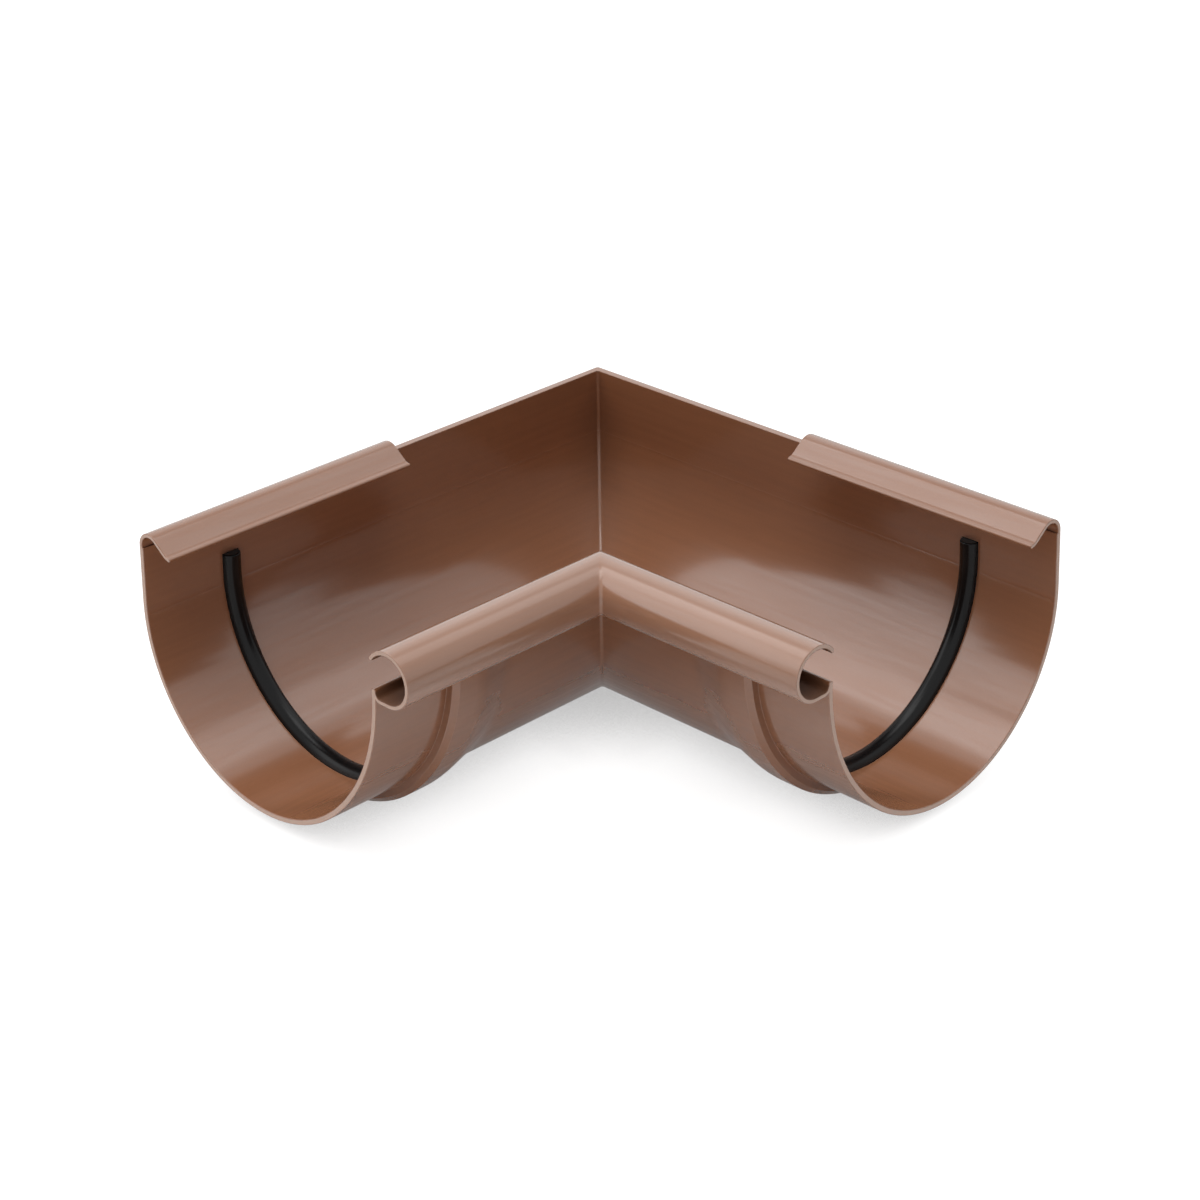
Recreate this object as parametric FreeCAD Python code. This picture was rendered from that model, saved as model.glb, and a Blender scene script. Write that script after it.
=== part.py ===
import FreeCAD, Part
import os
from math import acos, cos, degrees, radians, sin
from FreeCAD import Vector

# Inside gutter corner of 90 degrees, moulded in one piece, with a rubber gasket in each socket.
# Millimetres, +Z up. The arms run along +X and +Y, and the mitre is the plane x = y.
# A section point is (across, up) from the axis of the half-round trough: across grows from
# the tall back wall to the rolled front edge, which lies in the angle between the arms.

# Trough section
wall = 2.2                    # wall thickness of the sockets
body_wall = 2.9               # wall thickness of the body between the sockets
trough_radius = 62.8          # inside radius of the half-round, for a 125 mm gutter
front_radius = 79.8           # inside radius of the flatter front quarter
front_start = 40.0            # angle past the bottom where the front quarter begins
back_height = 26.4            # rim of the back wall above the trough axis
back_lean = 3.0               # lean of the back wall over the trough
front_height = 14.8           # top of the front wall above the trough axis

# Arms
arm_length = 183.5            # crossing of the trough axes to a socket's mouth

# Rolled front edge
bead_radius = 11.05           # outside radius of the rolled edge
bead_wall = 1.8
bead_gap = 4.5                # clear width between the front wall and the roll's lowest point
bead_fold_drop = 1.9          # straight run down beside the wall, under its top
bead_fold_angle = 65.0        # slope of that run
bead_fold_radius = 2.6        # bend from it into the flat underside
bead_turn = 234.0             # how far the roll goes round

# Clip along the outer part of each back rim
clip_start = 62.4             # crossing of the trough axes to the clip's inner end
clip_wall = 1.6               # the clip is thinner than the wall, so that it gives
clip_rise = 1.0               # straight wall between the rim's level and the crest
clip_crest_radius = 6.4       # outside radius of the crest
clip_slope = 38.0             # fall of the clip towards the trough
clip_length = 6.4             # straight sloped run
clip_lip_radius = 6.0         # bend that flattens the lip
clip_lip_slope = 5.0          # fall of the lip itself

# Rib that houses the gasket
rib_height = 4.9              # above the outside of the trough
rib_mouth_gap = 34.0          # mouth to the rib's square face
rib_width = 13.6              # square face to the start of the taper
rib_chamfer = 2.0             # off the square face's outer edge
rib_taper = 19.0              # run in which the rib falls back to the trough
rib_margin = 3.0              # rib beyond the upper end of the groove

# Gasket and its groove
gasket_width = 7.8
gasket_mouth_gap = 37.3       # mouth to the gasket
gasket_back_height = 10.5     # upper end on the back wall
gasket_front_height = 8.0     # upper end on the front wall
gasket_stand = 3.9            # how far it stands into the trough
gasket_flat = 0.4             # flat left along the top of its round crown
groove_depth = 4.0
seat_gap = 0.15               # gasket to the groove, on every side

outside_radius = trough_radius + wall
middle_radius = trough_radius + wall / 2
front_middle_radius = front_radius + wall / 2
front_shift = front_radius - trough_radius
front_centre_up = front_shift * cos(radians(front_start))
bead_middle_radius = bead_radius - bead_wall / 2
bead_top = front_height - wall / 2
bead_fold = radians(bead_fold_angle)
bead_floor = bead_top - bead_fold_drop * sin(bead_fold) - bead_fold_radius * (1 - cos(bead_fold))
rib_face = arm_length - rib_mouth_gap
rib_land = rib_face - rib_width
gasket_face = arm_length - gasket_mouth_gap
beyond_mitre = -outside_radius - rib_height


def trace(start, heading, moves, side):
    """Edges parallel to a chain of straight ("line", length) and round ("arc", radius, turn)
    stretches, at a distance side to its left. Gives (start, middle or None, end) triples."""
    across, up = start
    angle = radians(heading)
    stretches = []
    for move in moves:
        first = (across - side * sin(angle), up + side * cos(angle))
        if move[0] == "line":
            middle = None
            across += move[1] * cos(angle)
            up += move[1] * sin(angle)
        else:
            turn = radians(move[2])
            hand = 1 if turn > 0 else -1
            centre = (across - hand * move[1] * sin(angle), up + hand * move[1] * cos(angle))
            reach = hand * move[1] - side
            half = angle + turn / 2
            angle += turn
            middle = (centre[0] + reach * sin(half), centre[1] - reach * cos(half))
            across = centre[0] + hand * move[1] * sin(angle)
            up = centre[1] - hand * move[1] * cos(angle)
        last = (across - side * sin(angle), up + side * cos(angle))
        stretches.append((first, middle, last))
    return stretches, (across, up), angle


def strip_wire(along, start, heading, moves, near, far, round_end=False):
    """Closed outline at a distance along the arm, between the lines near and far to the left
    of a chain of stretches. Its end is square, or rounded over its thickness."""
    near_side, end, angle = trace(start, heading, moves, near)
    far_side, end, angle = trace(start, heading, moves, far)
    path = list(near_side)
    tip = None
    if round_end:
        middle = (near + far) / 2
        nose = abs(near - far) / 2
        tip = (end[0] - middle * sin(angle) + nose * cos(angle),
               end[1] + middle * cos(angle) + nose * sin(angle))
    path.append((near_side[-1][2], tip, far_side[-1][2]))
    path += [(last, middle, first) for first, middle, last in reversed(far_side)]
    path.append((far_side[0][0], None, near_side[0][0]))
    edges = []
    for first, middle, last in path:
        ends = [Vector(along, *first), Vector(along, *last)]
        if middle is None:
            edges.append(Part.makeLine(*ends))
        else:
            edges.append(Part.Arc(ends[0], Vector(along, *middle), ends[1]).toShape())
    return Part.Wire(edges)


def strip(begin, finish, *section, **ends):
    """Solid strip that runs along the arm from begin to finish."""
    return Part.Face(strip_wire(begin, *section, **ends)).extrude(Vector(finish - begin, 0, 0))


def front_angle(height):
    """Angle past the bottom at which the middle of the front wall is at a height."""
    return degrees(acos((front_centre_up - height) / front_middle_radius))


def back_point(height):
    """Point on the middle of the leaning back wall, and its distance up from the half-round."""
    lean = radians(back_lean)
    rise = (height - middle_radius * sin(lean)) / cos(lean)
    return (rise * sin(lean) - middle_radius * cos(lean), height), rise


def trough_chain(back_top, front_top):
    """Middle of the wall, from a height on the back, round the bottom, to one on the front."""
    start, rise = back_point(back_top)
    moves = [("line", rise), ("arc", middle_radius, 90.0 + back_lean + front_start)]
    moves.append(("arc", front_middle_radius, front_angle(front_top) - front_start))
    return start, -90.0 - back_lean, moves


def make_trough():
    """The half-round from mouth to mitre, and the thicker skin of its body."""
    chain = trough_chain(back_height, bead_top)
    trough = strip(beyond_mitre, arm_length, *chain, wall / 2, -wall / 2, round_end=True)
    body_chain = trough_chain(back_height, bead_floor)
    return trough.fuse(strip(beyond_mitre, rib_land, *body_chain, 0, wall / 2 - body_wall))


def make_bead():
    """Rolled edge: folded down off the front wall, flat underneath, then round to its lip."""
    front_across = front_middle_radius * sin(radians(front_angle(bead_top)))
    start = (front_across - front_shift * sin(radians(front_start)), bead_top)
    moves = [("line", bead_fold_drop), ("arc", bead_fold_radius, bead_fold_angle)]
    moves += [("line", bead_gap), ("arc", bead_middle_radius, bead_turn)]
    chain = (start, -bead_fold_angle, moves)
    return strip(beyond_mitre, arm_length, *chain, bead_wall / 2, -bead_wall / 2, round_end=True)


def make_clip():
    """Sprung hook over the back rim, under which the gutter's edge snaps in."""
    crest = clip_crest_radius - wall / 2
    crest_turn = back_lean - 90.0 - clip_slope
    moves = [("line", clip_rise), ("arc", crest, crest_turn), ("line", clip_length)]
    moves.append(("arc", clip_lip_radius, clip_slope - clip_lip_slope))
    chain = (back_point(back_height)[0], 90.0 - back_lean, moves)
    return strip(clip_start, arm_length, *chain, wall / 2, wall / 2 - clip_wall, round_end=True)


def make_rib():
    """Square face towards the mouth, chamfer, flat top, and a taper back to the trough."""
    rise = rib_height + wall / 2
    chain = trough_chain(gasket_back_height + rib_margin, bead_floor)
    land_end = rib_face - rib_chamfer
    land = strip(rib_land, land_end, *chain, 0, -rise)
    slopes = []
    for foot, top, foot_rise in ((rib_land - rib_taper, rib_land, wall / 2),
                                 (rib_face, land_end, rise - rib_chamfer)):
        wires = [strip_wire(foot, *chain, 0, -foot_rise), strip_wire(top, *chain, 0, -rise)]
        slopes.append(Part.makeLoft(wires, True, True))
    return land.fuse(slopes)


def gasket_chain(gap):
    """Path of the gasket on the wall's middle, lengthened by a gap at each end."""
    return trough_chain(gasket_back_height + gap, gasket_front_height + gap)


def make_groove():
    begin = gasket_face - gasket_width - seat_gap
    chain = gasket_chain(seat_gap)
    return strip(begin, gasket_face + seat_gap, *chain, wall, wall / 2 - groove_depth)


def make_gasket():
    """Rubber strip, seated in its groove, with a rounded crown that stands into the trough."""
    chain = gasket_chain(0)
    crown = wall / 2 + gasket_stand
    seat = wall / 2 - groove_depth + seat_gap
    gasket = strip(gasket_face - gasket_width, gasket_face, *chain, crown, seat)
    rims = []
    for stretch in trace(*chain, crown)[0]:
        for along in (gasket_face - gasket_width, gasket_face):
            rims.append(Vector(along, *(stretch[1] or middle_of(stretch))))
    crown_edges = [edge for edge in gasket.Edges if near_any(edge, rims)]
    return gasket.makeFillet((gasket_width - gasket_flat) / 2, crown_edges)


def middle_of(stretch):
    return tuple((a + b) / 2 for a, b in zip(stretch[0], stretch[2]))


def near_any(edge, points):
    half = (edge.FirstParameter + edge.LastParameter) / 2
    return any(edge.valueAt(half).distanceToPoint(point) < wall / 10 for point in points)


def make_arm():
    """The +X arm, cut off square at its mouth and on the mitre plane at the corner."""
    arm = make_trough().fuse([make_bead(), make_clip(), make_rib()]).cut(make_groove())
    reach = 2 * arm_length
    corners = [(-reach, -reach), (reach, -reach), (reach, reach), (-reach, -reach)]
    wedge = Part.Face(Part.makePolygon([Vector(x, y, -reach) for x, y in corners]))
    return arm.common(wedge.extrude(Vector(0, 0, 2 * reach)))


def other_arm(shape):
    """Mirror image across the mitre plane."""
    return shape.mirror(Vector(0, 0, 0), Vector(1, -1, 0))


def place(shape):
    """Moves a shape so that the corner's box stands centred on the origin."""
    middle = (arm_length - outside_radius - rib_height) / 2
    shape.translate(Vector(-middle, -middle, outside_radius + rib_height))
    return shape


arm = make_arm()
gasket = make_gasket()
nodes = {
    "corner_body": arm.fuse(other_arm(arm)).removeSplitter(),
    "gasket_x_arm": gasket,
    "gasket_y_arm": other_arm(gasket),
}
os.makedirs("parts", exist_ok=True)
for name, shape in nodes.items():
    solid = place(shape)
    print(name, solid.isValid(), len(solid.Solids), round(solid.Volume), solid.BoundBox)
    solid.exportStep("parts/" + name + ".step")
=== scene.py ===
from math import acos, asin, atan2, cos, pi, radians, sin, sqrt, tan

import bmesh
import bpy
from bpy.props import FloatProperty, FloatVectorProperty, PointerProperty
from mathutils import Matrix, Vector


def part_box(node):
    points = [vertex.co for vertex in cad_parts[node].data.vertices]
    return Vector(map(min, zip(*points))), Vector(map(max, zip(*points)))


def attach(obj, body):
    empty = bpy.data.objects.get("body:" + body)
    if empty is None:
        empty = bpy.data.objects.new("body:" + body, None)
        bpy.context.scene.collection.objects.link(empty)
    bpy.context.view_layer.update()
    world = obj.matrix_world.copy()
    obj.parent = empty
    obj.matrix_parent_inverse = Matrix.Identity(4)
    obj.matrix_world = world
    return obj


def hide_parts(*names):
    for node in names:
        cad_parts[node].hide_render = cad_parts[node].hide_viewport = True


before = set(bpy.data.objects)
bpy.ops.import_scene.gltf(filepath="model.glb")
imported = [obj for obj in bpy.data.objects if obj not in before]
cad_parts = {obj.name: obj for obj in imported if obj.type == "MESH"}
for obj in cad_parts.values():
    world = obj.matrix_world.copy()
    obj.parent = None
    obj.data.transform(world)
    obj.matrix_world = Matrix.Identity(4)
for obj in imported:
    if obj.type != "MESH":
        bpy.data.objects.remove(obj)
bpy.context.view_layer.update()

bl_info = {
    "name": "Half-round gutter corner",
    "version": (1, 0, 0),
    "blender": (4, 5, 0),
    "location": "3D View > Sidebar > Gutter",
    "description": "Moulded inside corner of a half-round gutter, with its gaskets, finishes and stage",
    "category": "Add Mesh",
}

# The arms run along +X and +Y and the mitre is the plane x = y. A section point is (across, up)
# from the axis of the half-round: across grows from the back wall to the rolled front edge.

MM = 0.001
BODY = "root"
WHITE = (1.0, 1.0, 1.0, 1.0)
BLACK = (0.0, 0.0, 0.0, 1.0)

# Mesh
MERGE = 1e-6                  # points closer than this are one point
DIGITS = 7                    # decimals of the places along an arm, so that they compare
STATION_SPACING = 12 * MM     # between the outlines on a plain stretch of an arm
ROUND_STEPS = 3               # facets across a rounded edge
CREASE_STEPS = 4              # facets round the mitre's crease
GASKET_STEPS = 96             # facets along a gasket
CROWN_STEPS = 8               # facets on each side of a gasket's crown
SHARP_ANGLE = radians(33.0)   # edges that turn by more than this stay sharp
NODE_SAMPLES = 4              # rays of a shader node that looks round a point

# Mesh attributes that the PVC reads
PAINTED_LIGHT = "painted_light"                 # how far a face is painted over to the paler colour of edges, as painted light:
END_HIGHLIGHT = 0.9                # end faces at the mouths, painted pale as a highlight
ROLL_PAINTED_LIGHT = 0.225             # outside of the rolled edge, painted lighter as if more light fell on it
ROLL_INSIDE = "roll_inside"   # 1 on the faces inside the rolled edge, which get full painted shade

# Stage, in metres
LAMP_DISTANCE = 1.8           # from the camera's aim to a lamp
FLOOR_REACH = 6.0             # from the middle of the floor to its sides

# Softboxes: setting of the brightness, turn and elevation in degrees, size, whether it shows in gloss
SOFTBOXES = (
    ("overhead", -40.0, 78.0, (1.9, 1.5), False),
    ("zenith", 0.0, 90.0, (0.9, 0.9), True),
    ("front", -8.0, 6.5, (1.6, 0.35), False),
    ("side", -90.0, 26.0, (0.85, 1.6), True),
    ("back_x", -120.0, 62.0, (0.85, 0.85), True),
    ("back_y", 120.0, 62.0, (0.85, 0.85), True),
    ("back", 180.0, 38.0, (0.85, 0.85), True),
)


def length(name, millimetres, description):
    """A size in millimetres, stored in metres."""
    return FloatProperty(name=name, description=description, default=millimetres * MM,
                         min=0.0, precision=5, unit="LENGTH")


def angle(name, degrees, description):
    """An angle in degrees, stored in radians."""
    return FloatProperty(name=name, description=description, default=radians(degrees),
                         subtype="ANGLE", unit="ROTATION")


def amount(name, value, description, most=1.0):
    """A plain number from 0 to a most."""
    return FloatProperty(name=name, description=description, default=value, min=0.0, max=most)


def colour(name, value, description):
    """A linear colour."""
    return FloatVectorProperty(name=name, description=description, default=value,
                               size=3, min=0.0, max=1.0, subtype="COLOR")


class TroughSizes(bpy.types.PropertyGroup):
    """Half-round trough of an arm, and the fine detail of the moulding"""
    arm: length("Arm", 183.5, "Crossing of the trough axes to a socket's mouth")
    wall: length("Socket wall", 2.2, "Wall thickness of the sockets")
    body_wall: length("Body wall", 2.9, "Wall thickness of the body between the sockets")
    radius: length("Radius", 62.8, "Inside radius of the half-round")
    front_radius: length("Front radius", 79.8, "Inside radius of the flatter front quarter")
    front_start: angle("Front start", 40.0, "Angle past the bottom where the front quarter begins")
    back_height: length("Back height", 26.4, "Rim of the back wall above the trough axis")
    back_lean: angle("Back lean", 3.0, "Lean of the back wall over the trough")
    front_height: length("Front height", 14.8, "Top of the front wall above the trough axis")
    edge_round: length("Edge rounding", 0.3, "Radius of the moulding's outer edges")
    mitre_round: length("Mitre rounding", 1.2, "Radius in plan of the corner's crease")
    seam_drop: length("Seam drop", 2.6, "Parting line below the trough axis")
    seam_height: length("Seam height", 0.08, "How far the parting line stands proud")
    seam_width: length("Seam width", 0.5, "Width of the parting line")


class RollSizes(bpy.types.PropertyGroup):
    """Rolled front edge"""
    radius: length("Radius", 11.05, "Outside radius of the rolled edge")
    wall: length("Wall", 1.8, "Wall thickness of the rolled edge")
    gap: length("Gap", 4.5, "Flat run between the fold and the roll")
    fold_drop: length("Fold drop", 1.9, "Straight run down beside the front wall")
    fold_angle: angle("Fold angle", 65.0, "Slope of that run")
    fold_radius: length("Fold radius", 2.6, "Bend from it into the flat run")
    turn: angle("Turn", 234.0, "How far the roll goes round")


class ClipSizes(bpy.types.PropertyGroup):
    """Clip along the outer part of each back rim"""
    start: length("Start", 62.4, "Crossing of the trough axes to the clip's inner end")
    wall: length("Wall", 1.6, "Wall thickness of the clip")
    rise: length("Rise", 1.0, "Straight wall between the rim and the crest")
    crest_radius: length("Crest radius", 6.4, "Outside radius of the crest")
    slope: angle("Slope", 38.0, "Fall of the clip towards the trough")
    run: length("Run", 6.4, "Straight sloped run")
    lip_radius: length("Lip radius", 6.0, "Bend that flattens the lip")
    lip_slope: angle("Lip slope", 5.0, "Fall of the lip itself")


class RibSizes(bpy.types.PropertyGroup):
    """Rib that houses the gasket"""
    height: length("Height", 4.9, "Rib above the outside of the socket")
    mouth_gap: length("Mouth gap", 34.0, "Mouth to the rib's square face")
    width: length("Width", 13.6, "Square face to the start of the taper")
    chamfer: length("Chamfer", 2.0, "Chamfer on the square face's outer edge")
    taper: length("Taper", 19.0, "Run in which the rib falls back to the trough")
    blend: length("Blend", 25.0, "Radius at both ends of the taper")
    margin: length("Margin", 3.0, "Rib beyond the upper end of the groove")


class GasketSizes(bpy.types.PropertyGroup):
    """Gasket and its groove"""
    width: length("Width", 7.8, "Width of the rubber strip")
    mouth_gap: length("Mouth gap", 37.3, "Mouth to the gasket")
    back_height: length("Back height", 10.5, "Upper end on the back wall")
    front_height: length("Front height", 8.0, "Upper end on the front wall")
    stand: length("Stand", 3.9, "How far it stands into the trough")
    flat: length("Flat", 0.4, "Flat along the top of its round crown")
    groove: length("Groove", 4.0, "Depth of the groove")
    seat_gap: length("Seat gap", 0.15, "Gasket to the groove, on every side")
    end_round: length("End rounding", 0.6, "Radius of its cut ends")


class FinishSettings(bpy.types.PropertyGroup):
    """Colours and gloss of the PVC and the rubber"""
    pvc: colour("PVC", (0.275, 0.115, 0.055), "Milk-chocolate brown of the moulding")
    # paler brown of rubbed edges, also used for painted highlights on edges, end faces and the roll
    pvc_edge_and_highlight: colour("PVC edges", (0.52, 0.32, 0.23), "Paler brown of rubbed and cut edges")
    pvc_roughness: amount("PVC roughness", 0.24, "Roughness of the PVC under its moulded skin")
    rubber: colour("Rubber", (0.003, 0.003, 0.0033), "Black of the gaskets")
    rubber_edge: colour("Rubber bloom", (0.010, 0.010, 0.011), "Grey bloom on the rubber's edges")
    rubber_roughness: amount("Rubber roughness", 0.22, "Roughness of the rubber")
    dust: colour("Dust", (0.55, 0.50, 0.46), "Colour of the fine dust that settles")


class StageSettings(bpy.types.PropertyGroup):
    """Camera, floor and lamps"""
    distance: length("Camera distance", 1101.3, "Camera to its aim")
    turn: angle("Camera turn", 0.087, "Turn of the camera off the mitre plane")
    elevation: angle("Camera elevation", 26.70, "Camera above the level")
    roll: angle("Camera roll", -0.955, "Roll of the picture")
    lens: FloatProperty(name="Lens", description="Focal length in millimetres on a 36 mm sensor",
                        default=82.15, min=1.0)
    aim: FloatVectorProperty(name="Aim", description="Point that the camera looks at", size=3,
                             default=(-28.51 * MM, -29.16 * MM, 47.24 * MM), subtype="TRANSLATION")
    shift: FloatProperty(name="Shift", description="Upward shift of the picture", default=0.0012)
    floor: colour("Floor", (0.96, 0.93, 0.91), "Colour of the floor")
    floor_light: amount("Floor light", 0.25, "Share of the lamps' light that shows on the floor")
    floor_gloss: amount("Floor in gloss", 0.95, "Share of the floor's colour that reflections show")
    # painted light on the floor: a glow in reflections, brighter at the object's foot, and a painted
    # shadow at its foot
    floor_lift: amount("Floor lift", 0.12, "Lift of the floor towards white in reflections")
    floor_haze: amount("Floor haze", 0.1, "Lift of the floor at the object's foot in reflections")
    shadow_reach: length("Shadow reach", 40.0, "How far the shadow at the object's foot reaches")
    shadow_gain: amount("Shadow gain", 3.0, "How soon the floor is white again beside the object", 4.0)
    shadow_depth: amount("Shadow depth", 0.57, "Darkness of the shadow at the object's foot")
    overhead: amount("Overhead", 2.9, "Brightness of the wide softbox overhead", 10.0)
    zenith: amount("Zenith", 1.9, "Brightness of the small softbox straight above", 10.0)
    front: amount("Front", 2.2, "Brightness of the low, wide softbox in front", 10.0)
    side: amount("Side", 1.1, "Brightness of the tall softbox beside the X arm", 10.0)
    back_x: amount("Back X", 1.5, "Brightness behind, on the X arm's side", 10.0)
    back_y: amount("Back Y", 0.75, "Brightness behind, on the Y arm's side", 10.0)
    back: amount("Back", 0.3, "Brightness straight behind", 10.0)


class GutterCorner(bpy.types.PropertyGroup):
    """All settings of the corner and its stage"""
    trough: PointerProperty(type=TroughSizes)
    roll: PointerProperty(type=RollSizes)
    clip: PointerProperty(type=ClipSizes)
    rib: PointerProperty(type=RibSizes)
    gasket: PointerProperty(type=GasketSizes)
    finish: PointerProperty(type=FinishSettings)
    stage: PointerProperty(type=StageSettings)


def direction(heading):
    """Unit vector at an angle."""
    return Vector((cos(heading), sin(heading)))


def travel(point, heading, distance, bend):
    """Point and heading after a distance on a line that turns by bend for each metre."""
    after = heading + bend * distance
    if bend == 0:
        return point + distance * direction(heading), after
    return point + (direction(after - pi / 2) - direction(heading - pi / 2)) / bend, after


def arc(radius, turn):
    """A round stretch as (length, turn)."""
    return radius * abs(turn), turn


def spread(first, last, count):
    """Evenly spaced values from first to last, in a count of steps."""
    return [first + (last - first) * i / count for i in range(count + 1)]


def circle_points(centre, radius, first, last, count):
    """Points on a circle from the angle first to the angle last."""
    return [centre + radius * direction(heading) for heading in spread(first, last, count)]


class Chain:
    """Straight and round stretches in the section plane, each given as (length, turn)."""

    def __init__(self, start, heading, moves):
        self.stretches = []
        self.breaks = [0.0]
        point = Vector(start)
        for span, turn in moves:
            self.stretches.append((self.breaks[-1], point, heading, turn / span))
            point, heading = travel(point, heading, span, turn / span)
            self.breaks.append(self.breaks[-1] + span)
        self.length = self.breaks[-1]
        self.end = point
        self.end_heading = heading

    def at(self, distance, side=0.0):
        """Point at a distance along the chain, moved to its left by side."""
        reached = [stretch for stretch in self.stretches if stretch[0] <= distance]
        first, point, heading, bend = reached[-1] if reached else self.stretches[0]
        point, heading = travel(point, heading, distance - first, bend)
        return point + side * direction(heading + pi / 2)

    def run(self, first, last, count, side):
        """Evenly spaced points from one distance to another, moved to the chain's left by side."""
        return [self.at(distance, side) for distance in spread(first, last, count)]

    def stops(self, first, last, counts):
        """Distances from one in the first stretch to one in the last, with a count for each stretch."""
        ends = [first] + self.breaks[1:-1] + [last]
        distances = [first]
        for begin, finish, count in zip(ends, ends[1:], counts):
            distances += spread(begin, finish, count)[1:]
        return distances

    def pass_breaks(self, first, last, counts, side):
        """Points at the distances that stops gives, moved to the chain's left by side."""
        return [self.at(distance, side) for distance in self.stops(first, last, counts)]


class Section:
    """Cross-section of an arm, worked out from the sizes."""

    floor_counts = (2, 38, 16)    # facets of the trough's leaning back, half-round and front quarter
    wall_count = 5                # facets up the rest of a wall
    roll_counts = (1, 6, 3, 28)   # facets of the roll's fold drop, fold, flat run and turn
    clip_counts = (1, 16, 3, 6)   # facets of the clip's rise, crest, run and lip
    brow_count = 8                # facets over the top of the front wall
    under_count = 8               # facets from the roll's underside back to the front wall
    nose_count = 6                # facets round the end of a strip
    halvings = 40                 # steps of the search for where the roll meets the wall

    def __init__(self, sizes):
        trough, roll, clip, gasket = sizes.trough, sizes.roll, sizes.clip, sizes.gasket
        self.half = trough.wall / 2
        self.edge = trough.edge_round
        self.lean = trough.back_lean
        self.middle = trough.radius + self.half
        self.front_middle = trough.front_radius + self.half
        shift = trough.front_radius - trough.radius
        self.front_start = trough.front_start
        self.front_centre = shift * Vector((-sin(self.front_start), cos(self.front_start)))
        self.back_rise = self.rise_of(trough.back_height)
        self.roll_half = roll.wall / 2
        self.clip_wall = clip.wall
        self.seam = (trough.seam_height, trough.seam_width)
        self.wall_line = self.make_wall_line(trough)
        self.roll_line = self.make_roll_line(roll)
        self.clip_line = self.make_clip_line(clip)
        gap = gasket.seat_gap
        self.groove_back = self.back_distance(gasket.back_height + gap)
        self.groove_front = self.front_distance(gasket.front_height + gap)
        self.gasket_back = self.back_distance(gasket.back_height)
        self.gasket_front = self.front_distance(gasket.front_height)
        self.rib_back = self.back_distance(gasket.back_height + sizes.rib.margin)
        seam_angle = asin(trough.seam_drop / self.middle)
        self.seam_at = self.back_rise + self.middle * (self.lean + seam_angle)

    def rise_of(self, height):
        """Distance of a height on the leaning back wall above the half-round."""
        return (height - self.middle * sin(self.lean)) / cos(self.lean)

    def back_distance(self, height):
        """Distance along the wall's line to a height on the back."""
        return self.back_rise - self.rise_of(height)

    def front_turn(self, height):
        """Angle past the bottom at which the middle of the front wall is at a height."""
        return acos((self.front_centre.y - height) / self.front_middle)

    def distance_of_turn(self, turn):
        """Distance along the wall's line to an angle past the bottom, in the front quarter."""
        round_run = self.middle * (pi / 2 + self.lean + self.front_start)
        return self.back_rise + round_run + self.front_middle * (turn - self.front_start)

    def front_distance(self, height):
        """Distance along the wall's line to a height on the front."""
        return self.distance_of_turn(self.front_turn(height))

    def make_wall_line(self, trough):
        """Middle of the wall, from the back rim round the bottom to the top of the front."""
        across = self.back_rise * sin(self.lean) - self.middle * cos(self.lean)
        top_turn = self.front_turn(trough.front_height - self.half)
        moves = [(self.back_rise, 0.0), arc(self.middle, pi / 2 + self.lean + self.front_start)]
        moves.append(arc(self.front_middle, top_turn - self.front_start))
        return Chain((across, trough.back_height), -pi / 2 - self.lean, moves)

    def make_roll_line(self, roll):
        """Middle of the rolled edge: down off the front wall, flat underneath, then round."""
        moves = [(roll.fold_drop, 0.0), arc(roll.fold_radius, roll.fold_angle), (roll.gap, 0.0)]
        moves.append(arc(roll.radius - self.roll_half, roll.turn))
        return Chain(self.wall_line.end, -roll.fold_angle, moves)

    def make_clip_line(self, clip):
        """Middle of the wall carried on over the back rim and down to the clip's lip."""
        crest = arc(clip.crest_radius - self.half, self.lean - pi / 2 - clip.slope)
        moves = [(clip.rise, 0.0), crest, (clip.run, 0.0)]
        moves.append(arc(clip.lip_radius, clip.slope - clip.lip_slope))
        return Chain(self.wall_line.at(0.0), pi / 2 - self.lean, moves)

    def rim_corner(self, inset, side, radius, hand):
        """Rounded corner between the rim and the inside (hand 1) or outside (hand -1) of the wall."""
        points = []
        for turn in spread(0.0, pi / 2, ROUND_STEPS):
            drop = inset + radius * (1 - cos(turn))
            points.append(self.wall_line.at(drop, hand * (side - radius * (1 - sin(turn)))))
        return points

    def floor_points(self, side, groove):
        """Inside of the trough between the groove's ends, with its parting line."""
        height, width = self.seam
        distances = self.wall_line.stops(self.groove_back, self.groove_front, self.floor_counts)
        distances = [d for d in distances if abs(d - self.seam_at) > width]
        distances += [self.seam_at + width * k / 2 for k in (-1, 0, 1)]
        proud = 0.0 if groove else height
        points = []
        for distance in sorted(distances):
            lift = proud if distance == self.seam_at else 0.0
            points.append(self.wall_line.at(distance, side - groove + lift))
        return points

    def junction(self, side, thickness):
        """Distance along the roll at which its underside meets the outside of the front wall."""
        near, far = 0.0, self.roll_line.breaks[3]
        for _ in range(self.halvings):
            middle = (near + far) / 2
            offset = (self.roll_line.at(middle, side) - self.front_centre).length - self.front_middle
            near, far = (middle, far) if offset < thickness else (near, middle)
        return near

    def outline(self, rise, skin, groove, inset):
        """Points from the clip's inner foot, round the trough and the roll, to its outer foot.

        Keeps which stretches of it are the inside and the outside of the roll."""
        wall, roll = self.wall_line, self.roll_line
        inner = self.half - inset
        nose = self.roll_half - inset
        points = [wall.at(inset, self.clip_wall - self.half - inset)]
        points += self.rim_corner(inset, inner, self.edge, 1)
        points += wall.run(inset + self.edge, self.groove_back, self.wall_count, inner)[1:]
        points += self.floor_points(inner, groove)
        points += wall.run(self.groove_front, wall.length, self.wall_count, inner)

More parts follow.
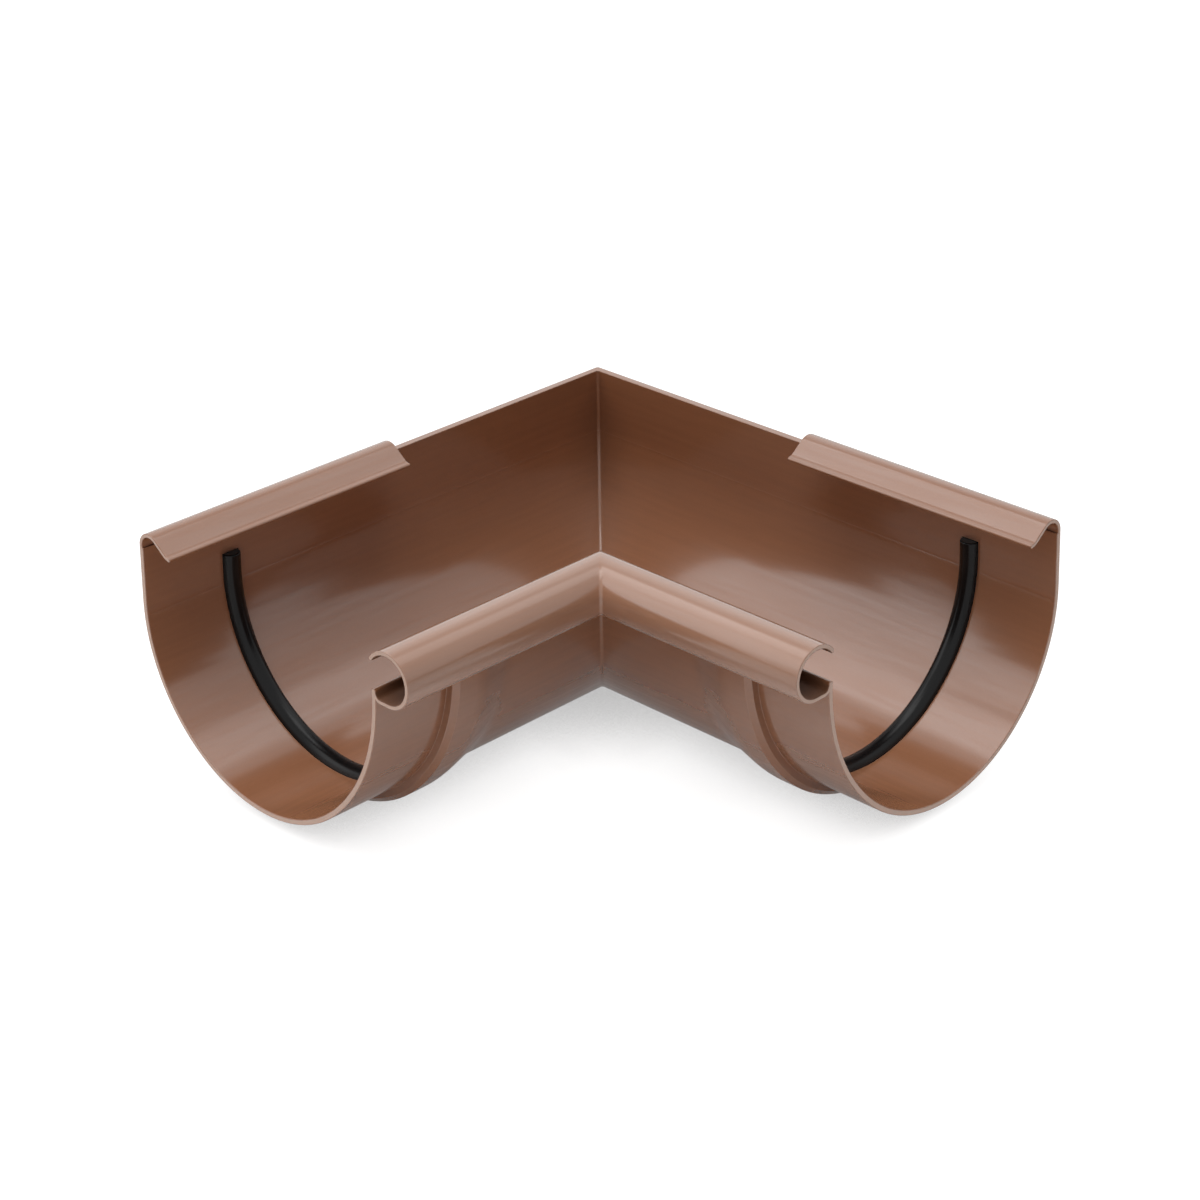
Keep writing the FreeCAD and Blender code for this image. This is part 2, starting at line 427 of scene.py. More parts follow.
        fold_heading = roll.stretches[0][2]
        meet = fold_heading + pi / 2 - acos(nose / inner)
        points += circle_points(wall.end, inner, wall.end_heading + pi / 2, meet, self.brow_count)[1:-1]
        inside = len(points)
        points += roll.pass_breaks(sqrt(inner ** 2 - nose ** 2), roll.length, self.roll_counts, nose)
        self.roll_inside = range(inside, len(points) - 1)
        lip = (roll.end_heading + pi / 2, roll.end_heading - pi / 2)
        points += circle_points(roll.end, nose, *lip, self.nose_count)[1:-1]
        outside = len(points)
        points += roll.run(roll.length, roll.breaks[3], self.roll_counts[3], -nose)
        self.roll_outside = range(outside, len(points) - 1)

        rib_side = self.half + rise - inset
        foot = self.junction(-nose, rib_side)
        points += roll.run(roll.breaks[3], foot, self.under_count, -nose)[1:]
        from_centre = roll.at(foot, -nose) - self.front_centre
        begin = self.distance_of_turn(atan2(from_centre.x, -from_centre.y))
        bevel = min(self.edge, (rise - skin) / 2)
        points += wall.pass_breaks(self.rib_back + bevel, begin, self.floor_counts, -rib_side)[-2::-1]
        points.append(wall.at(self.rib_back, bevel - rib_side))
        skin_side = self.half + skin - inset
        points += wall.run(self.rib_back, inset, self.wall_count, -skin_side)[:-1]
        points += reversed(self.rim_corner(inset, skin_side, min(self.edge, skin / 2), -1))
        points.append(wall.at(inset, inset - self.half))
        return points

    def clip_outline(self, inset):
        """Points over the clip from its outer foot to its inner foot, without the two feet."""
        clip = self.clip_line
        outside = self.half - inset
        inside = self.half - self.clip_wall + inset
        points = clip.pass_breaks(0.0, clip.length, self.clip_counts, outside)
        tip = clip.at(clip.length, self.half - self.clip_wall / 2)
        ends = (clip.end_heading + pi / 2, clip.end_heading - pi / 2)
        points += circle_points(tip, self.clip_wall / 2 - inset, *ends, self.nose_count)[1:-1]
        points += reversed(clip.pass_breaks(0.0, clip.length, self.clip_counts, inside))
        return points


class Placement:
    """Where the section stands in the frame, from the box of the body's node."""

    def __init__(self, sizes):
        low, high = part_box("corner_body")
        self.middle = sizes.trough.arm - high[0]
        self.axis_height = low[2] + sizes.trough.radius + sizes.trough.wall + sizes.rib.height

    def on_arm(self, point, along, arm):
        """Place of a section point at a distance along the X or the Y arm."""
        place = (along, point.x) if arm == "X" else (point.x, along)
        return Vector((place[0] - self.middle, place[1] - self.middle, point.y + self.axis_height))


def rounded(points, radii):
    """An (along, height) outline with each corner between its ends rounded to a radius."""
    corners = [Vector(point) for point in points]
    path = [corners[0]]
    for before, corner, after, radius in zip(corners, corners[1:], corners[2:], radii):
        back, ahead = before - corner, after - corner
        reach = min(radius / tan(back.angle(ahead) / 2), back.length / 2, ahead.length / 2)
        first, last = corner + reach * back.normalized(), corner + reach * ahead.normalized()
        for share in spread(0.0, 1.0, ROUND_STEPS):
            path.append(first.lerp(corner, share).lerp(corner.lerp(last, share), share))
    path.append(corners[-1])
    return [(round(point.x, DIGITS), point.y) for point in path]


def quarter(begin, finish):
    """Quarter round between two (along, height) points, upright where it finishes."""
    points = []
    for turn in spread(0.0, pi / 2, ROUND_STEPS):
        along = begin[0] + (finish[0] - begin[0]) * sin(turn)
        points.append((round(along, DIGITS), begin[1] + (finish[1] - begin[1]) * (1 - cos(turn))))
    return points


def level(line, along, after):
    """Height of an (along, height) outline just before or just after a place."""
    for (start, low), (end, high) in zip(line, line[1:]):
        within = start <= along < end if after else start < along <= end
        if within:
            return low + (high - low) * (along - start) / (end - start)
    return line[0][1] if along <= line[0][0] else line[-1][1]


def make_stations(sizes):
    """Places along an arm as (along, rise, skin, groove, inset, clip inset), from mitre to mouth."""
    trough, rib, gasket = sizes.trough, sizes.rib, sizes.gasket
    edge, mouth = trough.edge_round, trough.arm
    start = -(trough.radius + trough.wall + rib.height)
    skin = trough.body_wall - trough.wall
    face = mouth - rib.mouth_gap
    land = face - rib.width
    foot = land - rib.taper * (1 - skin / rib.height)
    rise_line = rounded([(start, skin), (foot, skin), (land, rib.height), (face - rib.chamfer, rib.height),
                         (face, rib.height - rib.chamfer), (face, 0.0), (mouth, 0.0)],
                        (rib.blend, rib.blend, edge, edge, edge))
    skin_line = [(start, skin), (land, skin), (land, 0.0), (mouth, 0.0)]
    seat = mouth - gasket.mouth_gap + gasket.seat_gap
    far = seat - gasket.width - 2 * gasket.seat_gap
    groove_line = [(start, 0.0), (far, 0.0), (far, gasket.groove),
                   (seat, gasket.groove), (seat, 0.0), (mouth, 0.0)]
    mouth_line = quarter((mouth - edge, 0.0), (mouth, edge))
    clip_line = quarter((sizes.clip.start + edge, 0.0), (sizes.clip.start, edge))[::-1] + mouth_line
    lines = [[(round(along, DIGITS), height) for along, height in line]
             for line in (rise_line, skin_line, groove_line, mouth_line, clip_line)]
    places = {along for line in lines for along, height in line}
    plain_count = int((mouth - start) / STATION_SPACING)
    places.update(round(start + STATION_SPACING * i, DIGITS) for i in range(plain_count))
    stations = []
    for along in sorted(places):
        before = tuple(level(line, along, False) for line in lines)
        after = tuple(level(line, along, True) for line in lines)
        stations.append((along,) + before)
        if after != before:
            stations.append((along,) + after)
    return stations


def add_skin(bm, rows, marks=()):
    """Quads between neighbouring rows of vertices. A mark is (face layer, its columns, value there)."""
    for row, following in zip(rows, rows[1:]):
        for column, corners in enumerate(zip(row, row[1:], following[1:], following)):
            face = bm.faces.new(corners)
            for layer, columns, value in marks:
                if column in columns:
                    face[layer] = value


def add_object(data):
    """Object in the scene, with the name of its data."""
    added = bpy.data.objects.new(data.name, data)
    bpy.context.scene.collection.objects.link(added)
    return added


def finish_mesh(bm, name):
    """Closed piece with merged points, outward faces and smooth shading between sharp edges."""
    bmesh.ops.remove_doubles(bm, verts=bm.verts, dist=MERGE)
    bmesh.ops.dissolve_degenerate(bm, edges=bm.edges, dist=MERGE)
    bmesh.ops.recalc_face_normals(bm, faces=bm.faces)
    if not all(edge.is_manifold for edge in bm.edges):
        raise RuntimeError(name + " isn't closed")
    mesh = bpy.data.meshes.new(name)
    bm.to_mesh(mesh)
    bm.free()
    mesh.polygons.foreach_set("use_smooth", [True] * len(mesh.polygons))
    mesh.set_sharp_from_angle(angle=SHARP_ANGLE)
    piece = add_object(mesh)
    piece.modifiers.new("weighted_normals", "WEIGHTED_NORMAL").keep_sharp = True
    return piece


def make_body(sizes):
    """The corner in one piece: one outline carried down one arm, round the mitre and up the other."""
    section, place = Section(sizes), Placement(sizes)
    crease = sizes.trough.mitre_round
    bm = bmesh.new()
    layers = bm.faces.layers.float
    for name in (PAINTED_LIGHT, ROLL_INSIDE):
        layers.new(name)
    painted_light, roll_inside = layers[PAINTED_LIGHT], layers[ROLL_INSIDE]

    def arm_rows(arm):
        rows, clip_rows = [], []
        for along, rise, skin, groove, inset, clip_inset in make_stations(sizes):
            outline = section.outline(rise, skin, groove, inset)
            rows.append([bm.verts.new(place.on_arm(p, max(along, p.x + crease), arm)) for p in outline])
            if along >= round(sizes.clip.start, DIGITS):
                clip = section.clip_outline(clip_inset)
                middle = [bm.verts.new(place.on_arm(p, along, arm)) for p in clip]
                clip_rows.append([rows[-1][-1]] + middle + [rows[-1][0]])
        return rows, clip_rows

    x_rows, x_clips = arm_rows("X")
    y_rows, y_clips = arm_rows("Y")
    skin = sizes.trough.body_wall - sizes.trough.wall
    body = section.outline(skin, skin, 0.0, 0.0)
    bend_rows = []
    for turn in spread(0.0, pi / 2, CREASE_STEPS)[1:-1]:
        row = []
        for p in body:
            point = Vector((p.x + crease * (1 - cos(turn)), p.y))
            row.append(bm.verts.new(place.on_arm(point, p.x + crease * (1 - sin(turn)), "X")))
        bend_rows.append(row)

    # the roll's outside is painted lighter, and the faces inside it are marked for full painted shade
    marks = ((roll_inside, section.roll_inside, 1.0), (painted_light, section.roll_outside, ROLL_PAINTED_LIGHT))
    add_skin(bm, x_rows[::-1] + bend_rows + y_rows, marks)
    bare = len(x_rows) - len(x_clips) + 1
    rims = x_rows[:bare][::-1] + bend_rows + y_rows[:bare]
    add_skin(bm, [[row[-1], row[0]] for row in rims])
    for rows, clips in ((x_rows, x_clips), (y_rows, y_clips)):
        add_skin(bm, clips)
        bm.faces.new(clips[0])
        # the end face at the mouth is painted pale as a highlight
        bm.faces.new(rows[-1] + clips[-1][1:-1])[painted_light] = END_HIGHLIGHT
    return finish_mesh(bm, "moulded_corner")


def make_gasket(sizes, arm):
    """Rubber strip in its groove, with a rounded crown and softened ends."""
    section, place = Section(sizes), Placement(sizes)
    gasket = sizes.gasket
    face = sizes.trough.arm - gasket.mouth_gap
    crown_radius = (gasket.width - gasket.flat) / 2

    def ring(inset):
        seat = section.half - gasket.groove + gasket.seat_gap + inset
        radius = crown_radius - inset
        shoulder = section.half + gasket.stand - crown_radius
        near, far = face - crown_radius, face - gasket.width + crown_radius
        points = [Vector((far - radius, seat)), Vector((near + radius, seat))]
        points += circle_points(Vector((near, shoulder)), radius, 0.0, pi / 2, CROWN_STEPS)
        points += circle_points(Vector((far, shoulder)), radius, pi / 2, pi, CROWN_STEPS)
        return points

    first, last = section.gasket_back, section.gasket_front
    stations = quarter((first + gasket.end_round, 0.0), (first, gasket.end_round))[::-1]
    stations += [(distance, 0.0) for distance in spread(first, last, GASKET_STEPS)[1:-1]]
    stations += quarter((last - gasket.end_round, 0.0), (last, gasket.end_round))
    bm = bmesh.new()
    rows = []
    for distance, inset in stations:
        row = []
        for along, side in ring(inset):
            row.append(bm.verts.new(place.on_arm(section.wall_line.at(distance, side), along, arm)))
        rows.append(row + row[:1])
    add_skin(bm, rows)
    bm.faces.new(rows[0][:-1])
    bm.faces.new(rows[-1][:-1])
    return finish_mesh(bm, "gasket_strip_" + arm.lower())


def add_node(tree, kind, **values):
    """Node with its attributes set by name."""
    node = tree.nodes.new(kind)
    for name, value in values.items():
        setattr(node, name, value)
    return node


def connect(tree, socket, source):
    """Link from a source socket, or a plain value, to an input socket."""
    if isinstance(source, bpy.types.NodeSocket):
        tree.links.new(source, socket)
    else:
        socket.default_value = source


def fill(tree, sockets, **sources):
    """Links or plain values for sockets by name. Spaces in their names are written _."""
    for name, source in sources.items():
        connect(tree, sockets[name.replace("_", " ")], source)


def math_node(tree, operation, *inputs, clamp=False):
    """Result of a math node on sockets and plain values."""
    node = add_node(tree, "ShaderNodeMath", operation=operation, use_clamp=clamp)
    for socket, source in zip(node.inputs, inputs):
        connect(tree, socket, source)
    return node.outputs[0]


def about_zero(tree, value):
    """A value between 0 and 1, moved to lie about zero."""
    return math_node(tree, "SUBTRACT", value, 0.5)


def stretch(tree, value, zero, one):
    """A value scaled so that zero comes out as 0 and one as 1, and kept between them."""
    gain = 1 / (one - zero)
    return math_node(tree, "MULTIPLY_ADD", value, gain, -zero * gain, clamp=True)


def mix_colour(tree, factor, first, second):
    """Mix of two colours."""
    node = add_node(tree, "ShaderNodeMix", data_type="RGBA")
    fill(tree, node.inputs, Factor=factor, A=first, B=second)
    return node.outputs["Result"]


def scale_colour(tree, tint, factor):
    """A colour made brighter or darker by a factor."""
    node = add_node(tree, "ShaderNodeVectorMath", operation="SCALE")
    tree.links.new(tint, node.inputs[0])
    tree.links.new(factor, node.inputs["Scale"])
    return node.outputs[0]


def object_place(tree):
    """Place of a point in the object, in metres."""
    return add_node(tree, "ShaderNodeTexCoord").outputs["Object"]


def noise(tree, size, detail, place=None):
    """Soft noise over the object, or over another place, of features about a size."""
    if place is None:
        place = object_place(tree)
    node = add_node(tree, "ShaderNodeTexNoise")
    fill(tree, node.inputs, Vector=place, Scale=math_node(tree, "DIVIDE", 1.0, size), Detail=detail)
    return node.outputs["Fac"]


def new_group(name, inputs, outputs):
    """Shader node group with named sockets, for colours or values: its tree, inputs and outputs."""
    tree = bpy.data.node_groups.new(name, "ShaderNodeTree")
    for in_out, sockets in (("INPUT", inputs), ("OUTPUT", outputs)):
        for socket in sockets:
            kind = "NodeSocketColor" if socket.endswith("Colour") else "NodeSocketFloat"
            tree.interface.new_socket(socket, in_out=in_out, socket_type=kind)
    return tree, add_node(tree, "NodeGroupInput").outputs, add_node(tree, "NodeGroupOutput").inputs


def make_tone_group():
    """Colour that drifts in wide patches and fine specks."""
    inputs = ("Colour", "Patch Size", "Patch", "Speck Size", "Speck")
    tree, given, result = new_group("tone_drift", inputs, ("Colour",))
    patch = about_zero(tree, noise(tree, given["Patch Size"], detail=2.0))
    speck = about_zero(tree, noise(tree, given["Speck Size"], detail=3.0))
    drift = math_node(tree, "MULTIPLY_ADD", patch, given["Patch"], 1.0)
    drift = math_node(tree, "MULTIPLY_ADD", speck, given["Speck"], drift)
    fill(tree, result, Colour=scale_colour(tree, given["Colour"], drift))
    return tree


def make_grain_group():
    """Roughness and height of a moulded skin: slow ripple and fine grain."""
    inputs = ("Ripple Size", "Grain Size", "Grain", "Roughness", "Spread")
    tree, given, result = new_group("moulded_grain", inputs, ("Roughness", "Height"))
    ripple = noise(tree, given["Ripple Size"], detail=1.0)
    grain = noise(tree, given["Grain Size"], detail=4.0)
    height = math_node(tree, "MULTIPLY_ADD", grain, given["Grain"], ripple)
    change = about_zero(tree, grain)
    roughness = math_node(tree, "MULTIPLY_ADD", change, given["Spread"], given["Roughness"])
    fill(tree, result, Roughness=roughness, Height=height)
    return tree


def make_edge_rub_and_highlight_group():
    """Colour that pales in patches along edges, partly as wear and partly as a painted highlight."""
    inputs = ("Colour", "Edge Colour", "Radius", "Amount")
    tree, given, result = new_group("edge_rub_and_highlight", inputs, ("Colour",))
    bevel = add_node(tree, "ShaderNodeBevel", samples=NODE_SAMPLES)
    fill(tree, bevel.inputs, Radius=given["Radius"])
    normal = add_node(tree, "ShaderNodeNewGeometry").outputs["Normal"]
    dot = add_node(tree, "ShaderNodeVectorMath", operation="DOT_PRODUCT")
    tree.links.new(bevel.outputs["Normal"], dot.inputs[0])
    tree.links.new(normal, dot.inputs[1])
    mask = stretch(tree, dot.outputs["Value"], zero=1.0, one=0.8)
    worn = stretch(tree, noise(tree, 4 * MM, detail=3.0), zero=-0.5, one=0.75)
    mask = math_node(tree, "MULTIPLY", mask, worn)
    mask = math_node(tree, "MULTIPLY", mask, given["Amount"])
    fill(tree, result, Colour=mix_colour(tree, mask, given["Colour"], given["Edge Colour"]))
    return tree


def make_dust_group():
    """Colour under a breath of dust on what faces up."""
    inputs = ("Colour", "Dust Colour", "Amount")
    tree, given, result = new_group("settled_dust", inputs, ("Colour",))
    split = add_node(tree, "ShaderNodeSeparateXYZ")
    tree.links.new(add_node(tree, "ShaderNodeNewGeometry").outputs["Normal"], split.inputs[0])
    facing = stretch(tree, split.outputs["Z"], zero=1 / 3, one=1.0)
    cover = math_node(tree, "MULTIPLY", facing, noise(tree, 0.8 * MM, detail=5.0))
    cover = math_node(tree, "MULTIPLY", cover, given["Amount"])
    fill(tree, result, Colour=mix_colour(tree, cover, given["Colour"], given["Dust Colour"]))
    return tree


def make_flow_group():
    """Colour and gloss in faint streaks along each arm, as the melt ran in the mould."""
    inputs = ("Colour", "Gloss", "Length", "Width", "Drift", "Fade")
    tree, given, result = new_group("flow_streaks", inputs, ("Colour", "Gloss"))
    split = add_node(tree, "ShaderNodeSeparateXYZ")
    tree.links.new(object_place(tree), split.inputs[0])
    x, y, z = split.outputs
    along = math_node(tree, "MAXIMUM", x, y)     # the mitre is the plane x = y
    across = math_node(tree, "MINIMUM", x, y)
    drawn_out = add_node(tree, "ShaderNodeCombineXYZ")
    for socket, value, size in zip(drawn_out.inputs, (along, across, z), ("Length", "Width", "Width")):
        tree.links.new(math_node(tree, "DIVIDE", value, given[size]), socket)
    streak = noise(tree, 1.0, detail=3.0, place=drawn_out.outputs[0])
    share = stretch(tree, streak, zero=1 / 3, one=2 / 3)
    drift = math_node(tree, "MULTIPLY_ADD", about_zero(tree, share), given["Drift"], 1.0)
    streaked = scale_colour(tree, given["Colour"], drift)
    shine = math_node(tree, "SUBTRACT", 1.0, math_node(tree, "MULTIPLY", share, given["Fade"]))
    fill(tree, result, Colour=streaked, Gloss=math_node(tree, "MULTIPLY", given["Gloss"], shine))
    return tree


def open_share(tree, reach, only_local=False):
    """Share of the directions out of a surface that are open for a reach."""
    node = add_node(tree, "ShaderNodeAmbientOcclusion", samples=NODE_SAMPLES, only_local=only_local)
    fill(tree, node.inputs, Distance=reach)
    return node.outputs["AO"]


def make_hollow_shade_group():
    """Colour, roughness and glossy skin of a surface deep in a hollow: painted shade darkens its colour,
    and it is duller.

    A hollow begins where half of the directions are open and is deep where a third are."""
    inputs = ("Colour", "Roughness", "Inside", "Reach", "Dark", "Dull")
    tree, given, result = new_group("hollow_shade_and_dull", inputs, ("Colour", "Roughness", "Skin"))
    share = open_share(tree, given["Reach"], only_local=True)
    # painted shade deepens as fewer directions are open, and is full where Inside is 1
    depth = math_node(tree, "MAXIMUM", stretch(tree, share, zero=1 / 2, one=1 / 3), given["Inside"])
    # painted shade: the colour goes towards black by the depth
    dark = mix_colour(tree, math_node(tree, "MULTIPLY", depth, given["Dark"]), given["Colour"], BLACK)
    dull = math_node(tree, "MULTIPLY_ADD", depth, given["Dull"], given["Roughness"])
    fill(tree, result, Colour=dark, Roughness=dull, Skin=math_node(tree, "SUBTRACT", 1.0, depth))
    return tree


GROUP_MAKERS = {"tone_drift": make_tone_group, "moulded_grain": make_grain_group,
                "edge_rub_and_highlight": make_edge_rub_and_highlight_group, "settled_dust": make_dust_group,
                "flow_streaks": make_flow_group, "hollow_shade_and_dull": make_hollow_shade_group}


def use_group(tree, name, **values):
    """A group placed in a material with its own values."""
    group = bpy.data.node_groups.get(name) or GROUP_MAKERS[name]()
    node = add_node(tree, "ShaderNodeGroup", node_tree=group)
    fill(tree, node.inputs, **values)
    return node.outputs


def opaque(rgb):
    """A colour with its alpha."""
    return (*rgb, 1.0)


def new_material(name):
    """Material with a Principled shader: the material's tree and the shader's inputs."""
    material = bpy.data.materials.new(name)
    material.use_nodes = True
    return material, material.node_tree, material.node_tree.nodes["Principled BSDF"].inputs


def add_bump(tree, shader, height, depth):
    """Relief of a depth in metres."""
    bump = add_node(tree, "ShaderNodeBump")
    fill(tree, bump.inputs, Distance=depth, Height=height)
    fill(tree, shader, Normal=bump.outputs["Normal"])


def make_pvc(finish):
    """Glossy brown PVC with a smooth moulded skin, paler edges partly from rubbing and partly a painted
    highlight, a painted lighter roll and end faces, and painted shade with duller gloss in hollows and
    inside the roll.
    """
    material, tree, shader = new_material("brown_pvc")
    tone = use_group(tree, "tone_drift", Colour=opaque(finish.pvc), Patch_Size=45 * MM, Patch=0.10,
                     Speck_Size=0.7 * MM, Speck=0.10)
    # painted light: the end faces and the roll's outside go over to the paler edge colour
    painted_light = add_node(tree, "ShaderNodeAttribute", attribute_name=PAINTED_LIGHT).outputs["Fac"]
    painted_lighter = mix_colour(tree, painted_light, tone["Colour"], opaque(finish.pvc_edge_and_highlight))
    # edges pale partly from rubbing and partly as a painted highlight
    edge = use_group(tree, "edge_rub_and_highlight", Colour=painted_lighter, Edge_Colour=opaque(finish.pvc_edge_and_highlight),
                     Radius=0.6 * MM, Amount=0.4)
    dust = use_group(tree, "settled_dust", Colour=edge["Colour"], Dust_Colour=opaque(finish.dust),
                     Amount=0.03)
    grain = use_group(tree, "moulded_grain", Ripple_Size=9 * MM, Grain_Size=0.5 * MM, Grain=0.05,
                      Roughness=finish.pvc_roughness, Spread=0.12)
    # painted shade: full on the faces inside the rolled edge, elsewhere by how open the surface is
    inside = add_node(tree, "ShaderNodeAttribute", attribute_name=ROLL_INSIDE).outputs["Fac"]
    hollow = use_group(tree, "hollow_shade_and_dull", Colour=dust["Colour"], Roughness=grain["Roughness"],
                       Inside=inside, Reach=60 * MM, Dark=0.5, Dull=0.5)
    flow = use_group(tree, "flow_streaks", Colour=hollow["Colour"], Gloss=hollow["Skin"], Length=40 * MM,
                     Width=2.2 * MM, Drift=0.05, Fade=0.32)
    fill(tree, shader, Base_Color=flow["Colour"], Roughness=hollow["Roughness"],
         Coat_Weight=flow["Gloss"], Coat_Roughness=0.13, Coat_IOR=1.55)
    add_bump(tree, shader, grain["Height"], depth=0.02 * MM)
    return material


def make_rubber(finish):
    """Satin black rubber with a faint bloom on its edges."""
    material, tree, shader = new_material("black_rubber")
    tone = use_group(tree, "tone_drift", Colour=opaque(finish.rubber), Patch_Size=14 * MM, Patch=0.35,
                     Speck_Size=0.4 * MM, Speck=0.5)
    edge = use_group(tree, "edge_rub_and_highlight", Colour=tone["Colour"], Edge_Colour=opaque(finish.rubber_edge),
                     Radius=0.5 * MM, Amount=0.5)
    dust = use_group(tree, "settled_dust", Colour=edge["Colour"], Dust_Colour=opaque(finish.dust),
                     Amount=0.002)
    grain = use_group(tree, "moulded_grain", Ripple_Size=6 * MM, Grain_Size=0.3 * MM, Grain=0.25,
                      Roughness=finish.rubber_roughness, Spread=0.2)
    # painted shade where the rubber lies deep in its groove
    hollow = use_group(tree, "hollow_shade_and_dull", Colour=dust["Colour"], Roughness=grain["Roughness"],
                       Reach=5 * MM, Dark=0.6, Dull=0.3)
    fill(tree, shader, Base_Color=hollow["Colour"], Roughness=hollow["Roughness"], Specular_IOR_Level=0.22)
    add_bump(tree, shader, grain["Height"], depth=0.015 * MM)
    return material


def make_floor_material(stage):
    """Pale matt floor that shows white to the camera and in gloss, with the lamps' shadow of the object, a
    painted shadow at its foot, and a painted glow at its foot in reflections.
    """
    material, tree, shader = new_material("pale_floor")
    path = add_node(tree, "ShaderNodeLightPath").outputs
    mirrored = math_node(tree, "MAXIMUM", path["Is Glossy Ray"], path["Is Transmission Ray"])
    pictured, reflected = stage.floor_light * stage.floor, stage.floor_gloss * stage.floor
    tint = mix_colour(tree, path["Is Camera Ray"], opaque(stage.floor), opaque(pictured))
    tint = mix_colour(tree, mirrored, tint, opaque(reflected))
    # painted shadow: the floor's white glow dims where little is open near the object
    painted_unshadowed = math_node(tree, "MULTIPLY", open_share(tree, stage.shadow_reach), stage.shadow_gain, clamp=True)
    white = math_node(tree, "MULTIPLY_ADD", painted_unshadowed, stage.shadow_depth, 1.0 - stage.shadow_depth)
    white = math_node(tree, "MULTIPLY", white, path["Is Camera Ray"])
    # painted glow seen in reflections, brighter at the object's foot
    lift = math_node(tree, "MULTIPLY_ADD", painted_unshadowed, -stage.floor_haze, stage.floor_haze + stage.floor_lift)
    glow = math_node(tree, "MULTIPLY_ADD", mirrored, lift, white)
    fill(tree, shader, Base_Color=tint, Roughness=0.9, Specular_IOR_Level=0.0,
         Emission_Color=WHITE, Emission_Strength=glow)
    return material


def make_sky():
    """World that shows white behind the object and in its gloss, and gives no other light."""
    world = bpy.data.worlds.new("studio")
    world.use_nodes = True
    tree = world.node_tree
    path = add_node(tree, "ShaderNodeLightPath").outputs
    direct = math_node(tree, "MAXIMUM", path["Is Camera Ray"], path["Is Glossy Ray"])
    direct = math_node(tree, "MAXIMUM", direct, path["Is Transmission Ray"])
    fill(tree, tree.nodes["Background"].inputs, Color=WHITE, Strength=direct)
    bpy.context.scene.world = world


def view_matrix(stage, distance, turn, elevation, roll=0.0):
    """Place of a camera or lamp that looks at the aim. A turn of 0 is the corner's open side."""
    heading = pi / 4 + turn
    back = Vector((cos(heading) * cos(elevation), sin(heading) * cos(elevation), sin(elevation)))
    level_right = Vector((-sin(heading), cos(heading), 0.0))
    level_up = back.cross(level_right)
    right = cos(roll) * level_right + sin(roll) * level_up
    up = cos(roll) * level_up - sin(roll) * level_right
    matrix = Matrix((right, up, back)).transposed().to_4x4()
    matrix.translation = Vector(stage.aim) + distance * back
    return matrix


def add_lamps(stage):
    """Softboxes that face the object. The face of one is white at a brightness of 1."""
    for name, turn, elevation, size, in_gloss in SOFTBOXES:
        lamp = bpy.data.lights.new(name + "_softbox", "AREA")
        lamp.shape = "RECTANGLE"
        lamp.size, lamp.size_y = size
        lamp.energy = getattr(stage, name) * pi * lamp.size * lamp.size_y
        box = add_object(lamp)
        box.matrix_world = view_matrix(stage, LAMP_DISTANCE, radians(turn), radians(elevation))
        box.visible_camera = False
        box.visible_glossy = in_gloss


def add_camera(stage):
    """Camera at the angle of the picture."""
    lens = bpy.data.cameras.new("picture")
    lens.lens = stage.lens
    lens.shift_y = stage.shift
    camera = add_object(lens)
    camera.matrix_world = view_matrix(stage, stage.distance, stage.turn, stage.elevation, stage.roll)
    bpy.context.scene.camera = camera


def add_floor(stage):
    """Level floor under the part."""
    mesh = bpy.data.meshes.new("floor")
    corners = [(FLOOR_REACH * x, FLOOR_REACH * y, 0.0) for x, y in ((-1, -1), (1, -1), (1, 1), (-1, 1))]
    mesh.from_pydata(corners, [], [(0, 1, 2, 3)])
    mesh.materials.append(make_floor_material(stage))
    floor = add_object(mesh)


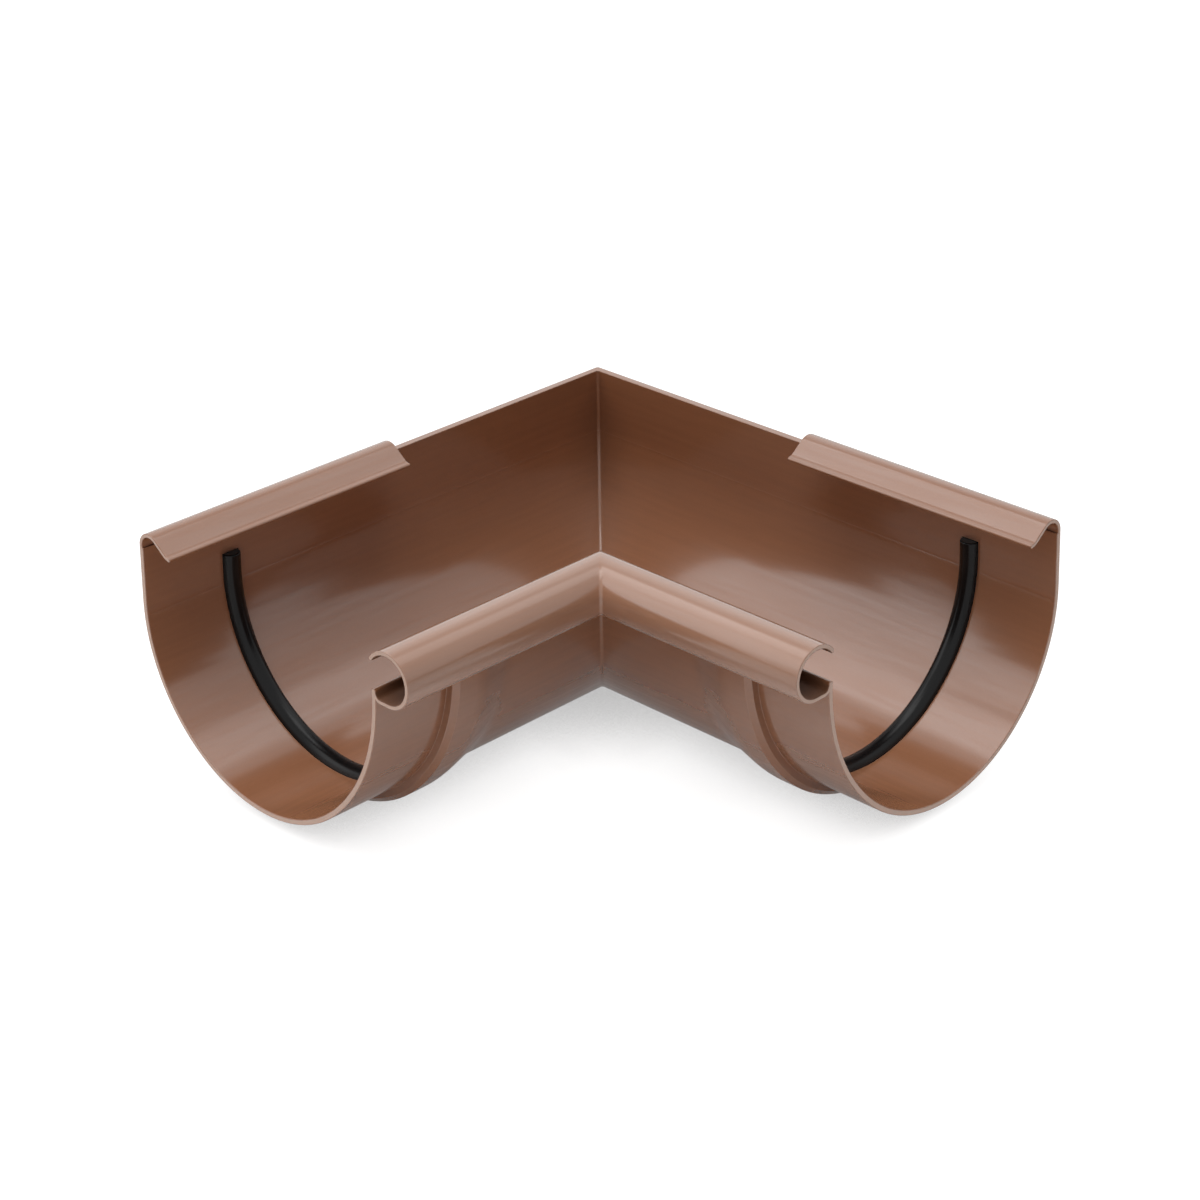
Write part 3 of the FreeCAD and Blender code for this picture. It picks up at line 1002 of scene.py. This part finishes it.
class GUTTER_OT_corner_body(bpy.types.Operator):
    """Mould the corner's body in one piece and give it its brown PVC"""
    bl_idname = "gutter.corner_body"
    bl_label = "Corner Body"

    def execute(self, context):
        corner = context.scene.gutter_corner
        piece = make_body(corner)
        piece.data.materials.append(make_pvc(corner.finish))
        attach(piece, BODY)
        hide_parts("corner_body")
        return {"FINISHED"}


class GUTTER_OT_gaskets(bpy.types.Operator):
    """Seat a black rubber gasket in each socket"""
    bl_idname = "gutter.gaskets"
    bl_label = "Gaskets"

    def execute(self, context):
        corner = context.scene.gutter_corner
        rubber = make_rubber(corner.finish)
        for arm, node in (("X", "gasket_x_arm"), ("Y", "gasket_y_arm")):
            piece = make_gasket(corner, arm)
            piece.data.materials.append(rubber)
            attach(piece, BODY)
            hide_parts(node)
        return {"FINISHED"}


class GUTTER_OT_stage(bpy.types.Operator):
    """Set the floor, the soft light and the camera"""
    bl_idname = "gutter.stage"
    bl_label = "Stage"

    def execute(self, context):
        stage = context.scene.gutter_corner.stage
        context.scene.view_settings.view_transform = "Standard"
        add_floor(stage)
        make_sky()
        add_camera(stage)
        add_lamps(stage)
        return {"FINISHED"}


class GUTTER_PT_corner(bpy.types.Panel):
    """Sizes, finishes and build steps of the corner"""
    bl_label = "Gutter Corner"
    bl_space_type = "VIEW_3D"
    bl_region_type = "UI"
    bl_category = "Gutter"

    def draw(self, context):
        corner = context.scene.gutter_corner
        for part in corner.__annotations__:
            box = self.layout.box()
            box.label(text=part.capitalize())
            settings = getattr(corner, part)
            for name in settings.__annotations__:
                box.prop(settings, name)
        for operator in OPERATORS:
            self.layout.operator(operator.bl_idname)


OPERATORS = (GUTTER_OT_corner_body, GUTTER_OT_gaskets, GUTTER_OT_stage)
CLASSES = (TroughSizes, RollSizes, ClipSizes, RibSizes, GasketSizes, FinishSettings, StageSettings,
           GutterCorner) + OPERATORS + (GUTTER_PT_corner,)


def register():
    for cls in CLASSES:
        bpy.utils.register_class(cls)
    bpy.types.Scene.gutter_corner = PointerProperty(type=GutterCorner)


def unregister():
    del bpy.types.Scene.gutter_corner
    for cls in reversed(CLASSES):
        bpy.utils.unregister_class(cls)


def main():
    register()
    bpy.ops.gutter.corner_body()
    bpy.ops.gutter.gaskets()
    bpy.ops.gutter.stage()


if __name__ == "__main__":
    main()
